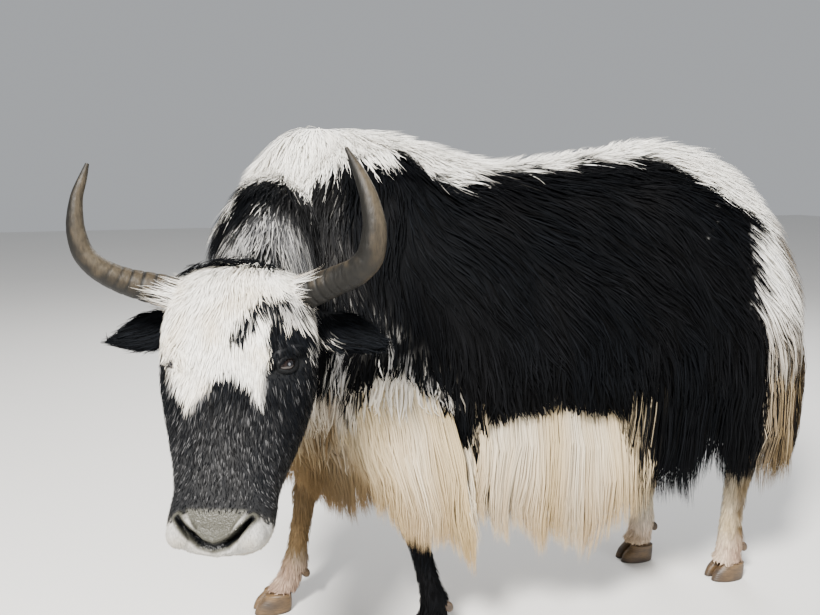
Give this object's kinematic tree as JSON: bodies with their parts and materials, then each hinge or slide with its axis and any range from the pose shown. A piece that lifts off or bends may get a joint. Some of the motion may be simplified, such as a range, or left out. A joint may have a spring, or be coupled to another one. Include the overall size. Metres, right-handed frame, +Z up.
{
  "type": "domestic yak, standing",
  "caption": "Life-size standing yak, head turned to its left, with upswept horns and a long skirt of black and white hair.",
  "frame": {"origin": "on the floor, under the middle of the whole animal's bounding box", "axes": "+X from the rump to the chest, +Y to the animal's left, which its head is turned to, +Z up"},
  "size_m": [1.9444, 0.9082, 1.2493],
  "materials": {
    "coat": "long outer hair, black with white and cream areas, slightly glossy",
    "face_coat": "short face hair, white forehead, dark grey muzzle and black cheeks",
    "horn": "worn grey-brown keratin, semi-gloss, ringed at the base",
    "hoof": "red-brown keratin, semi-matt, with fine growth lines",
    "eye": "wet, dark brown, glossy"
  },
  "bodies": {
    "root": {"torso": "coat", "neck": "coat", "head": "face_coat", "tail": "coat", "flank_left": "coat", "flank_right": "coat", "ear_left": "face_coat", "eye_left": "eye", "horn_left": "horn", "ear_right": "face_coat", "eye_right": "eye", "horn_right": "horn", "foreleg_left_upper": "coat", "foreleg_left_lower": "coat", "foreleg_left_claw_outer": "hoof", "foreleg_left_dewclaw_outer": "hoof", "foreleg_left_claw_inner": "hoof", "foreleg_left_dewclaw_inner": "hoof", "foreleg_right_upper": "coat", "foreleg_right_lower": "coat", "foreleg_right_claw_outer": "hoof", "foreleg_right_dewclaw_outer": "hoof", "foreleg_right_claw_inner": "hoof", "foreleg_right_dewclaw_inner": "hoof", "hindleg_left_upper": "coat", "hindleg_left_lower": "coat", "hindleg_left_claw_outer": "hoof", "hindleg_left_dewclaw_outer": "hoof", "hindleg_left_claw_inner": "hoof", "hindleg_left_dewclaw_inner": "hoof", "hindleg_right_upper": "coat", "hindleg_right_lower": "coat", "hindleg_right_claw_outer": "hoof", "hindleg_right_dewclaw_outer": "hoof", "hindleg_right_claw_inner": "hoof", "hindleg_right_dewclaw_inner": "hoof"}
  },
  "joints": []
}
